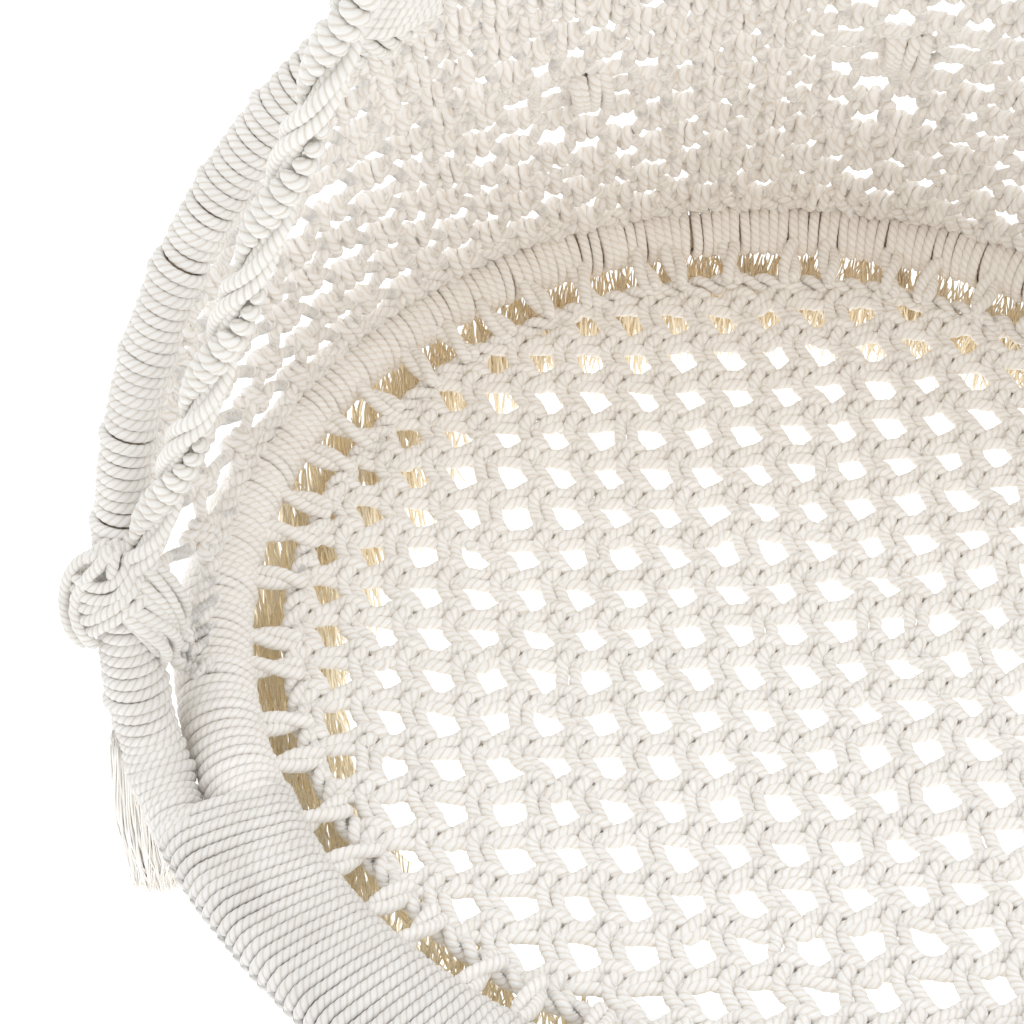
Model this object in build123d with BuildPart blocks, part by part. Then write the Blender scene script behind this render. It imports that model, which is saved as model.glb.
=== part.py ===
"""Hanging hoop chair of knotted cotton rope: a netted seat hoop lashed to a bent back hoop, four
suspension ropes, a hanging ring and a spring-gate carabiner. Millimetres, +Z up, origin at the
point where the carabiner's top bow rests on the hook that holds the chair."""

import os
from math import atan2, cos, degrees, radians, sin, sqrt

from build123d import *

# ---- Driving dimensions ---------------------------------------------------------------------
CORD = 5.6  # cotton rope of the wraps and nets
TUBE_R = 10.0  # seat hoop's steel tube, outside
BACK_TUBE_R = 7.0  # back hoop's
TUBE_WALL = 1.2
WRAP_R = TUBE_R + CORD  # outside of one layer of rope round the seat hoop
BACK_WRAP_R = BACK_TUBE_R + CORD
CLEAR = 0.6  # round the soft solids

SEAT_R = 300.0  # seat hoop, to the tube's centre
HOOP_GAP = 36.5  # between the two tubes' centres where they are lashed side by side
BACK_R = SEAT_R + HOOP_GAP  # back hoop before it is bent
BEND_Y = -104.0  # chord that the back hoop is bent about
BEND_R = 40.0
BEND_ANGLE = 61.4
LASHING_HALF = 67.5  # lashed arc, each side of the front, in degrees round the seat
WRAP_END = 179.95  # where the back hoop's two wraps meet at the top

SEAT_TILT = 2.52  # the rear of the seat hangs this much lower, in degrees
SEAT_Y = -7.3  # centre of the seat hoop, from the hanging point
SEAT_Z = -1175.5

NET_SAG = 26.0
NET_THICK = 10.0
PANEL_THICK = 12.0
PANEL_START = 82.0  # degrees round the seat, where the back panel's corners are
PANEL_SECTIONS = 15

FRINGE_R = 290.0  # middle of the fringe's thickness
FRINGE_THICK = 18.0
FRINGE_DROP = 62.0  # at the front and rear
FRINGE_SIDE_DROP = 105.0
FRINGE_ARC = 88.0
TASSEL_AT = 78.0  # degrees round the back hoop
TASSEL_SIZE = (30.0, 36.0, 150.0)
TASSEL_OUT = 8.0  # from under the tube

ROPE_R = 11.0
FRONT_HITCH = 87.5  # degrees round the back hoop
REAR_HITCH = 142.0
HITCH_R = 24.0
HITCH_ARC = 7.0

ROD_R = 4.0  # carabiner and ring
BOW_R = 17.0  # carabiner bows, to the rod's centre
SIDE = 38.0  # carabiner straight sides
RING_R = 31.0  # hanging ring, to the rod's centre
RUN_CLEAR = 0.3  # between pieces that swing on each other
EYE_HOLE_R = 6.0
EYE_R = 15.0
EYE_WIDTH = 16.0
COLLAR_R = 26.0
COLLAR_TOP = 15.0  # below the ring's lowest rod centre
COLLAR_LENGTH = 62.0
ROPE_TOP = (12.5, 12.0)  # the four ropes' upper ends, from the centre line
GATE_LENGTH = 24.0
GATE_TIP_GAP = 0.8
EAR_THICK = 1.8
EAR_R = 3.4
EAR_DEPTH = 10.0
EAR_GAP = 0.3  # each side of the gate
GATE_R = 3.6
GATE_BORE_R = 2.0
PIN_R = 1.0
PIN_BORE_R = 1.06
SPRING_WIRE = 0.5
SPRING_R = 1.4
SPRING_PITCH = 1.6
SPRING_LENGTH = 9.6

# ---- Frames ---------------------------------------------------------------------------------
tilt = radians(SEAT_TILT)
bend = radians(BEND_ANGLE)
seat = Plane(origin=(0, SEAT_Y, SEAT_Z), x_dir=(1, 0, 0), z_dir=(0, sin(tilt), cos(tilt)))
seat_axis = Axis(seat.origin, seat.z_dir)


def on_seat(x, y, z):
    """A point given from the seat hoop's centre: x to the right, y to the rear, z off the hoop."""
    return seat.from_local_coords(Vector(x, y, z))


def seat_dir(x, y, z):
    return seat.x_dir * x + seat.y_dir * y + seat.z_dir * z


def rolled(s):
    """Where the flat hoop's sheet goes once it is bent: distance past the chord to (y, z)."""
    half = BEND_R * bend / 2
    if s <= -half:
        return BEND_Y + s, 0.0
    if s < half:
        turn = (s + half) / BEND_R
        return BEND_Y - half + BEND_R * sin(turn), BEND_R * (1 - cos(turn))
    past = s - half
    y = BEND_Y - half + BEND_R * sin(bend) + past * cos(bend)
    return y, BEND_R * (1 - cos(bend)) + past * sin(bend)


def hoop_point(angle, radius=BACK_R):
    """A point of the back hoop, by its angle round the hoop from the front, left side positive."""
    a = radians(angle)
    y, z = rolled(-radius * cos(a) - BEND_Y)
    return on_seat(-radius * sin(a), y, z)


def hoop_tangent(angle):
    return (hoop_point(angle + 0.05) - hoop_point(angle - 0.05)).normalized()


def seat_point(angle, radius=SEAT_R, z=0.0):
    a = radians(angle)
    return on_seat(-radius * sin(a), -radius * cos(a), z)


def radial(angle):
    """The plane across the seat hoop at that angle: local x outwards, local y off the hoop."""
    a = radians(angle)
    out = seat_dir(-sin(a), -cos(a), 0)
    return Plane(origin=seat.origin, x_dir=out, z_dir=out.cross(seat.z_dir))


# The bent part of the back hoop lies in one tilted plane; its circle's centre is there too.
bend_half = BEND_R * bend / 2
rise_y, rise_z = rolled(-BEND_Y)
back_centre = on_seat(0, rise_y, rise_z)
back_normal = seat_dir(0, -sin(bend), cos(bend))
back_axis = Axis(back_centre, back_normal)
ARC_START = degrees(atan2(sqrt(BACK_R**2 - (BEND_Y + bend_half) ** 2), -(BEND_Y + bend_half)))
BEND_START = degrees(atan2(sqrt(BACK_R**2 - (BEND_Y - bend_half) ** 2), -(BEND_Y - bend_half)))


def hoop_section(angle):
    """The plane across the back hoop's planar part, local x away from its centre."""
    at = hoop_point(angle)
    return Plane(at, x_dir=at - back_centre, z_dir=hoop_tangent(angle))


def write(builder, name):
    builder.part.label = name
    export_step(builder.part, f"parts/{name}.step")


os.makedirs("parts", exist_ok=True)

# ---- Seat hoop and its wrap -----------------------------------------------------------------
with BuildPart() as seat_hoop:
    with BuildSketch(radial(0)):
        with Locations((SEAT_R, 0)):
            Circle(TUBE_R)
            Circle(TUBE_R - TUBE_WALL, mode=Mode.SUBTRACT)
    revolve(axis=seat_axis, revolution_arc=360)
write(seat_hoop, "seat_hoop")

with BuildPart() as seat_hoop_wrap:
    with BuildSketch(radial(LASHING_HALF)):
        with Locations((SEAT_R, 0)):
            Circle(WRAP_R)
            Circle(TUBE_R, mode=Mode.SUBTRACT)
    revolve(axis=seat_axis, revolution_arc=2 * LASHING_HALF - 360)
write(seat_hoop_wrap, "seat_hoop_wrap")

# ---- Lashing that holds both hoops side by side along the front -------------------------------
narrowing = (WRAP_R - BACK_WRAP_R) / HOOP_GAP  # sine of the slope from one wrap to the other
level = sqrt(1 - narrowing**2)
with BuildPart() as front_lashing:
    with BuildSketch(radial(-LASHING_HALF)):
        for radius, tube in ((SEAT_R, WRAP_R), (BACK_R, BACK_WRAP_R)):
            with Locations((radius, 0)):
                Circle(tube)
        with BuildLine():
            Polyline(
                (SEAT_R + WRAP_R * narrowing, WRAP_R * level),
                (BACK_R + BACK_WRAP_R * narrowing, BACK_WRAP_R * level),
                (BACK_R + BACK_WRAP_R * narrowing, -BACK_WRAP_R * level),
                (SEAT_R + WRAP_R * narrowing, -WRAP_R * level),
                close=True,
            )
        make_face()
        with Locations((SEAT_R, 0)):
            Circle(TUBE_R, mode=Mode.SUBTRACT)
        with Locations((BACK_R, 0)):
            Circle(BACK_TUBE_R, mode=Mode.SUBTRACT)
    revolve(axis=seat_axis, revolution_arc=-2 * LASHING_HALF)
write(front_lashing, "front_lashing")


# ---- Back hoop and its wrap -----------------------------------------------------------------
def bent_run(side):
    """The stretch of the back hoop that leaves the seat's plane, from front to rear."""
    first, last = side * BEND_START, side * ARC_START
    stops = [first + (last - first) * i / 6 for i in range(7)]
    points = [hoop_point(a) for a in stops]
    return Spline(*points, tangents=[hoop_tangent(first) * side, hoop_tangent(last) * side])


def back_run(first, last):
    return ThreePointArc(hoop_point(first), hoop_point((first + last) / 2), hoop_point(last))


def tube_along(line, angle, direction, outer, inner):
    """Sweeps a ring section along one line of the back hoop."""
    with BuildSketch(Plane(hoop_point(angle), z_dir=hoop_tangent(angle) * direction)) as section:
        Circle(outer)
        Circle(inner, mode=Mode.SUBTRACT)
    sweep(section.sketch, path=line)


with BuildPart() as back_hoop:
    for side in (-1, 1):
        with BuildLine() as half_hoop:
            back_run(0, side * BEND_START)
            bent_run(side)
            back_run(side * ARC_START, side * 180)
        tube_along(half_hoop.line, 0, side, BACK_TUBE_R, BACK_TUBE_R - TUBE_WALL)
write(back_hoop, "back_hoop")

for side, name in ((1, "back_hoop_wrap_left"), (-1, "back_hoop_wrap_right")):
    with BuildPart() as back_wrap:
        with BuildLine() as run:
            bent_run(side)
            back_run(side * ARC_START, side * WRAP_END)
        tube_along(run.line, side * BEND_START, side, BACK_WRAP_R, BACK_TUBE_R)
    write(back_wrap, name)

# ---- Seat net, a shallow dish inside the seat hoop --------------------------------------------
net_edge = SEAT_R - WRAP_R - CLEAR
with BuildPart() as seat_net:
    with BuildSketch(radial(0)):
        with BuildLine():
            low = -NET_SAG - NET_THICK / 2
            Line((net_edge, -NET_THICK / 2), (net_edge, NET_THICK / 2))
            TangentArc((0, low + NET_THICK), (net_edge, NET_THICK / 2), tangent=(1, 0))
            Line((0, low + NET_THICK), (0, low))
            TangentArc((0, low), (net_edge, -NET_THICK / 2), tangent=(1, 0))
        make_face()
    revolve(axis=seat_axis, revolution_arc=360)
write(seat_net, "seat_net")

# ---- Back panel, drawn tight between the rear of the seat hoop and the back hoop --------------
with BuildPart() as back_panel:
    for i in range(PANEL_SECTIONS):
        angle = PANEL_START + (360 - 2 * PANEL_START) * i / (PANEL_SECTIONS - 1)
        low, high = seat_point(angle), hoop_point(angle)
        along = (high - low).normalized()
        length = (high - low).length - WRAP_R - BACK_WRAP_R - 2 * CLEAR
        middle = low + along * (WRAP_R + CLEAR + length / 2)
        forward = (hoop_tangent(angle) + seat_dir(-cos(radians(angle)), sin(radians(angle)), 0)) / 2
        across = along.cross(forward).normalized()
        with BuildSketch(Plane(middle, x_dir=along, z_dir=along.cross(across))):
            Rectangle(length, PANEL_THICK)
    loft()
    with BuildSketch(radial(0)):
        with Locations((SEAT_R, 0)):
            Circle(WRAP_R + CLEAR)
    revolve(axis=seat_axis, revolution_arc=360, mode=Mode.SUBTRACT)
    with BuildSketch(hoop_section(180)):
        Circle(BACK_WRAP_R + CLEAR)
    revolve(axis=back_axis, revolution_arc=360, mode=Mode.SUBTRACT)
    for side in (-1, 1):
        for angle in (FRONT_HITCH, REAR_HITCH):
            with BuildSketch(hoop_section(side * (angle - HITCH_ARC / 2 - 0.1))):
                Circle(HITCH_R + CLEAR)
            revolve(axis=back_axis, revolution_arc=-side * (HITCH_ARC + 0.2), mode=Mode.SUBTRACT)
write(back_panel, "back_panel")

# ---- Fringe under the seat hoop, and a tassel under each side of the back hoop --------------
for name, middle, drop in (
    ("front", 0, FRINGE_DROP),
    ("left", 90, FRINGE_SIDE_DROP),
    ("rear", 180, FRINGE_DROP),
    ("right", 270, FRINGE_SIDE_DROP),
):
    with BuildPart() as fringe:
        with BuildSketch(radial(middle - FRINGE_ARC / 2)):
            with Locations((FRINGE_R, -WRAP_R - CLEAR - drop / 2)):
                Rectangle(FRINGE_THICK, drop)
        revolve(axis=seat_axis, revolution_arc=-FRINGE_ARC)
    write(fringe, f"fringe_{name}")

for side, name in ((1, "left"), (-1, "right")):
    hang = hoop_point(side * TASSEL_AT)
    with BuildPart() as tassel:
        with BuildSketch(Plane.XY.offset(hang.Z - BACK_TUBE_R)):
            with Locations((hang.X - side * TASSEL_OUT, hang.Y)):
                RectangleRounded(TASSEL_SIZE[0], TASSEL_SIZE[1], 8)
        extrude(amount=-TASSEL_SIZE[2])
        with BuildLine() as over:
            bent_run(side)
            back_run(side * ARC_START, side * 95)
        with BuildSketch(Plane(hoop_point(side * BEND_START), z_dir=hoop_tangent(side * BEND_START))):
            Circle(BACK_WRAP_R + 0.05)
        sweep(path=over.line, mode=Mode.SUBTRACT)
    write(tassel, f"corner_tassel_{name}")

# ---- Carabiner --------------------------------------------------------------------------------
top_bow_z = ROD_R - BOW_R
low_bow_z = top_bow_z - SIDE
low_rod_z = low_bow_z - BOW_R
gate_top_z = top_bow_z - 1.0 - GATE_TIP_GAP
gate_pin_z = gate_top_z - GATE_LENGTH
slot_low_z = gate_pin_z - EAR_R - 2.0
slot_half = GATE_R + EAR_GAP
gate_axis = Plane((0, BOW_R, gate_pin_z), z_dir=(1, 0, 0))

with BuildPart() as carabiner_body:
    for z, arc in ((top_bow_z, 180), (low_bow_z, -180)):
        with BuildSketch(Plane.XY.offset(z)):
            with Locations((0, BOW_R)):
                Circle(ROD_R)
        revolve(axis=Axis((0, 0, z), (1, 0, 0)), revolution_arc=arc)
    for y, z, rise in (
        (-BOW_R, low_bow_z, SIDE),
        (BOW_R, low_bow_z, slot_low_z - low_bow_z),
        (BOW_R, top_bow_z, -1.0),
    ):
        with BuildSketch(Plane.XY.offset(z)):
            with Locations((0, y)):
                Circle(ROD_R)
        extrude(amount=rise)
    with BuildSketch(Plane.YZ):
        with Locations((BOW_R, gate_pin_z)):
            Circle(EAR_R)
        with Locations((BOW_R, gate_pin_z - EAR_DEPTH / 2)):
            Rectangle(2 * EAR_R, EAR_DEPTH)
    extrude(amount=slot_half + EAR_THICK, both=True)
    with BuildSketch(Plane.YZ):
        with Locations((BOW_R, slot_low_z + 10)):
            Rectangle(2 * BOW_R, 20)
    extrude(amount=slot_half, both=True, mode=Mode.SUBTRACT)
    with Locations(gate_axis):
        Cylinder(PIN_R, 40, mode=Mode.SUBTRACT)
write(carabiner_body, "carabiner_body")

with BuildPart() as gate:
    with BuildSketch(Plane.XY.offset(gate_pin_z)):
        with Locations((0, BOW_R)):
            Circle(GATE_R)
    extrude(amount=GATE_LENGTH)
    with BuildSketch(gate_axis):
        Circle(GATE_R - 0.4)
    extrude(amount=GATE_R - 0.5, both=True)
    with Locations(gate_axis):
        Cylinder(PIN_BORE_R, 40, mode=Mode.SUBTRACT)
    with BuildSketch(Plane.XY.offset(gate_pin_z + 4)):
        with Locations((0, BOW_R)):
            Circle(GATE_BORE_R)
    extrude(amount=SPRING_LENGTH + 3.2, mode=Mode.SUBTRACT)
write(gate, "carabiner_gate")

with BuildPart() as gate_pin:
    with BuildSketch(gate_axis):
        Circle(PIN_R)
    extrude(amount=slot_half + EAR_THICK, both=True)
write(gate_pin, "gate_pin")

with BuildPart() as gate_spring:
    spring_foot = (0, BOW_R, gate_pin_z + 4.6)
    with BuildLine(Plane(spring_foot)) as coil:
        Helix(pitch=SPRING_PITCH, height=SPRING_LENGTH, radius=SPRING_R)
    with BuildSketch(Plane(coil.line @ 0, z_dir=coil.line % 0)):
        Circle(SPRING_WIRE / 2)
    sweep(path=coil.line, is_frenet=True)
write(gate_spring, "gate_spring")

# ---- Hanging ring, which hangs in the carabiner's lower bow -----------------------------------
ring_z = low_rod_z + ROD_R + RUN_CLEAR - (RING_R - ROD_R)
pivot_z = ring_z - RING_R
with BuildPart() as hanging_ring:
    with BuildSketch(Plane.XY.offset(ring_z)):
        with Locations((RING_R, 0)):
            Circle(ROD_R)
    revolve(axis=Axis((0, 0, ring_z), (0, 1, 0)), revolution_arc=360)
write(hanging_ring, "hanging_ring")

# ---- Rope eye over the ring, and the collar that gathers the four ropes under it --------------
collar_top = pivot_z - COLLAR_TOP
collar_low = collar_top - COLLAR_LENGTH
with BuildPart() as rope_eye:
    with BuildSketch(Plane.YZ):
        with Locations((0, pivot_z)):
            Circle(EYE_R)
        with Locations((0, (pivot_z + collar_top) / 2)):
            Rectangle(2 * (EYE_R - 1), pivot_z - collar_top)
        with Locations((0, pivot_z)):
            Circle(EYE_HOLE_R, mode=Mode.SUBTRACT)
    extrude(amount=EYE_WIDTH / 2, both=True)
write(rope_eye, "rope_eye")

with BuildPart() as collar:
    with BuildSketch(Plane.XY.offset(collar_top)):
        Circle(COLLAR_R)
    extrude(amount=-COLLAR_LENGTH)
    fillet(collar.edges(), 4)
write(collar, "rope_collar")

# ---- Suspension ropes and their hitches on the back hoop --------------------------------------
for place, angle, y_side in (("front", FRONT_HITCH, -1), ("rear", REAR_HITCH, 1)):
    for side, name in ((1, "left"), (-1, "right")):
        across = hoop_section(side * (angle - HITCH_ARC / 2))
        with BuildPart() as hitch:
            with BuildSketch(across):
                Circle(HITCH_R)
                Circle(BACK_WRAP_R + 0.1, mode=Mode.SUBTRACT)
            revolve(axis=back_axis, revolution_arc=-side * HITCH_ARC)
        write(hitch, f"{place}_hitch_{name}")

        tied = hoop_point(side * angle)
        rope_top = Vector(-side * ROPE_TOP[0], y_side * ROPE_TOP[1], collar_low)
        run = (rope_top - tied).normalized()
        with BuildPart() as rope:
            with BuildSketch(Plane(tied, z_dir=run)):
                Circle(ROPE_R)
            extrude(amount=(rope_top - tied).length + 2 * ROPE_R)
            with BuildSketch(across):
                Circle(HITCH_R)
            revolve(axis=back_axis, revolution_arc=-side * HITCH_ARC * 4, mode=Mode.SUBTRACT)
            with BuildSketch(across):
                Circle(HITCH_R)
            revolve(axis=back_axis, revolution_arc=side * HITCH_ARC * 3, mode=Mode.SUBTRACT)
            split(bisect_by=Plane.XY.offset(collar_low), keep=Keep.BOTTOM)
        write(rope, f"{place}_rope_{name}")
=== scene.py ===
"""Looks of the hanging hoop chair: its rope is made of three-strand cords, its fringe of yarns.

Lengths are metres. Most routes are worked out in the seat's own axes (x right, y to the rear, z off
the seat hoop, origin at the hoop's centre) and moved to the row frame when their mesh is made.
Sizes and directions that aren't read from the frame were fitted to the photograph or set one by one.
"""

import math

import bpy
import numpy as np
from mathutils import Matrix, Vector


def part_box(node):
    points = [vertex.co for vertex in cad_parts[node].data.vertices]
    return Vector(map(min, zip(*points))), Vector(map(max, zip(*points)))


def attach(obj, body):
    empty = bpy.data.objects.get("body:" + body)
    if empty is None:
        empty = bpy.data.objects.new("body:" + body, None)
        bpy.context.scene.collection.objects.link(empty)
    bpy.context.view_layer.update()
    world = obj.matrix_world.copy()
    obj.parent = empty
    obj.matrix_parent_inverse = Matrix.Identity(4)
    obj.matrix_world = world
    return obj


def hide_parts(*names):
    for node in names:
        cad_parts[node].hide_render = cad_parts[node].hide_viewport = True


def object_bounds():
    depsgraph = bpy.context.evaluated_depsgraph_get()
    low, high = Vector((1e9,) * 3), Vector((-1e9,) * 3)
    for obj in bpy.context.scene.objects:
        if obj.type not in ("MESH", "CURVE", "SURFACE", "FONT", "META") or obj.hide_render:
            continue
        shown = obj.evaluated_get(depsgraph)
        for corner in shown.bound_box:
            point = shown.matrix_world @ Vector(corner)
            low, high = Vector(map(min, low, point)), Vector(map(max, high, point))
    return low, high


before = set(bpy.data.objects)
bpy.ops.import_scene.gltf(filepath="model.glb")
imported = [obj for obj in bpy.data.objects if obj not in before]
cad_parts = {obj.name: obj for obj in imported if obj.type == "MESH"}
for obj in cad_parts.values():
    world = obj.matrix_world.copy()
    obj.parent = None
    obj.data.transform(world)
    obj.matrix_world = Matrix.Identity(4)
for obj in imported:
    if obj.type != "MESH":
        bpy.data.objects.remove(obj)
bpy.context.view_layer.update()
rng = np.random.default_rng(24)

# ---- Sizes --------------------------------------------------------------------------------------
MM = 0.001
PHASE = 6.28  # about one whole turn, the span of random phases
CORD_R = 2.9 * MM
LAY = 11 * MM  # one full turn of the cord's three strands
STEP = 1.5 * MM  # between two rings of a cord's mesh
TUBE_R = 10 * MM
BACK_TUBE_R = 7 * MM
WRAP_R = TUBE_R + 3 * MM  # to the centre of a cord wrapped on the seat hoop's tube
BACK_WRAP_R = BACK_TUBE_R + 3 * MM
WRAP_PITCH = 5.9 * MM  # between two turns on a hoop
LASH_PITCH = 6.0 * MM  # between two turns of the lashing
WRAP_OVERLAP = 0.025  # how far the wraps run in under the lashing, in radians
# Looser turns at the hoops' sides: how much, where and over what angle.
SEAT_LOOSE = (4.8 * MM, math.radians(80), math.radians(27))
BACK_LOOSE = (2.9 * MM, math.radians(75), math.radians(13))

seat_low, seat_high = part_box("seat_hoop")
seat_size = seat_high - seat_low
SEAT_R = seat_size.x / 2 - TUBE_R
TILT = math.atan2(seat_size.z / 2 - TUBE_R, seat_size.y / 2 - TUBE_R)
SEAT_CENTRE = np.array((seat_low + seat_high) / 2)
BACK_R = (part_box("back_hoop")[1].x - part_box("back_hoop")[0].x) / 2 - BACK_TUBE_R
AXES = np.array(
    [[1, 0, 0], [0, math.cos(TILT), -math.sin(TILT)], [0, math.sin(TILT), math.cos(TILT)]]
)

# The back hoop's bend, as the CAD has it: its chord, its radius and its angle.
BEND_Y = -104 * MM
BEND_R = 40 * MM
BEND = math.radians(61.4)
# Angles from the front: round the seat for the lashing and the panel, round the back for the hitches.
LASHING_END = math.radians(67)
PANEL_START = math.radians(80)
FRONT_HITCH = math.radians(87.5)
REAR_HITCH = math.radians(142)

NET_RIM_Z = -6.4 * MM
NET_SAG = 25.8 * MM  # how much lower the net's middle is than its rim
NET_EDGE = 263 * MM  # the net's edge cords, from the seat's centre
NET_ORIGIN = np.array([-44.1, 51.7]) * MM  # one crossing of the net
NET_ACROSS = np.array([27.08, 1.32]) * MM  # from a crossing to the next of its row
NET_ALONG = np.array([2.71, -27.90]) * MM  # from a crossing to the next row's
NET_GROWTH = 0.12 * MM  # the rows open a little towards the front
NET_REACH = 15  # crossings each way from the origin, enough to pass the rim everywhere
NET_CORD_R = CORD_R * 1.24
NET_TIES = 57
NET_TIE_R = CORD_R * 1.28


# ---- Vectors and routes -------------------------------------------------------------------------
def to_row(points):
    return SEAT_CENTRE + np.asarray(points) @ AXES


def unit(v):
    return v / np.maximum(np.linalg.norm(v, axis=-1, keepdims=True), 1e-12)


def wander(count, reach, size):
    """A smooth random curve of count values, about size high, that changes over reach of them."""
    knots = rng.normal(0, size, int(count / reach) + 4)
    return np.interp(np.arange(count) / reach, np.arange(len(knots)), knots)


def route(points, step=STEP):
    """Points an even step apart on a smooth curve through the given ones."""
    p = np.asarray(points, float)
    gap = np.maximum(np.linalg.norm(np.diff(p, axis=0), axis=1), 1e-6)
    at = np.concatenate([[0], np.cumsum(gap)])
    slope = np.diff(p, axis=0) / gap[:, None]
    middle = (slope[:-1] * gap[1:, None] + slope[1:] * gap[:-1, None]) / (gap[1:] + gap[:-1])[:, None]
    tangent = np.vstack([slope[:1], middle, slope[-1:]])
    t = np.linspace(0, at[-1], max(4, int(at[-1] / step) + 1))
    i = np.clip(np.searchsorted(at, t, side="right") - 1, 0, len(gap) - 1)
    h = gap[i]
    u = ((t - at[i]) / h)[:, None]
    h = h[:, None]
    return (
        (2 * u**3 - 3 * u**2 + 1) * p[i]
        + (u**3 - 2 * u**2 + u) * h * tangent[i]
        + (3 * u**2 - 2 * u**3) * p[i + 1]
        + (u**3 - u**2) * h * tangent[i + 1]
    )


def rolled(s):
    """Where the bent hoop's flat sheet goes: distance past the bend's chord to (y, z)."""
    half = BEND_R * BEND / 2
    turn = np.clip((s + half) / BEND_R, 0, BEND)
    past = np.maximum(s - half, 0)
    before = np.minimum(s + half, 0)
    y = BEND_Y - half + before + BEND_R * np.sin(turn) + past * math.cos(BEND)
    z = BEND_R * (1 - np.cos(turn)) + past * math.sin(BEND)
    return y, z


def back_point(angle, radius=BACK_R):
    """A point of the back hoop by its angle from the front, positive on the left."""
    y, z = rolled(-radius * np.cos(angle) - BEND_Y)
    return np.stack([-radius * np.sin(angle), y, z], axis=-1)


def seat_point(angle, radius=SEAT_R, z=0.0):
    x = -radius * np.sin(angle)
    return np.stack([x, -radius * np.cos(angle), np.broadcast_to(z, x.shape)], axis=-1)


def along_hoop(hoop, angle):
    """Centre, direction, outward and upward axes of a hoop's tube."""
    centre = hoop(angle)
    ahead = unit(hoop(angle + 1e-4) - hoop(angle - 1e-4))
    out = unit(hoop(angle, (SEAT_R if hoop is seat_point else BACK_R) + 1e-5) - centre)
    return centre, ahead, out, np.cross(out, ahead)


# ---- Cords --------------------------------------------------------------------------------------
def carried(ahead):
    """Side directions carried along a path without turning about it."""
    side = np.cross(ahead[0], [0.31, 0.52, 0.79])
    sides = []
    for step in ahead:
        side = side - side.dot(step) * step
        side = side / np.linalg.norm(side)
        sides.append(side)
    return np.array(sides)


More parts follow.
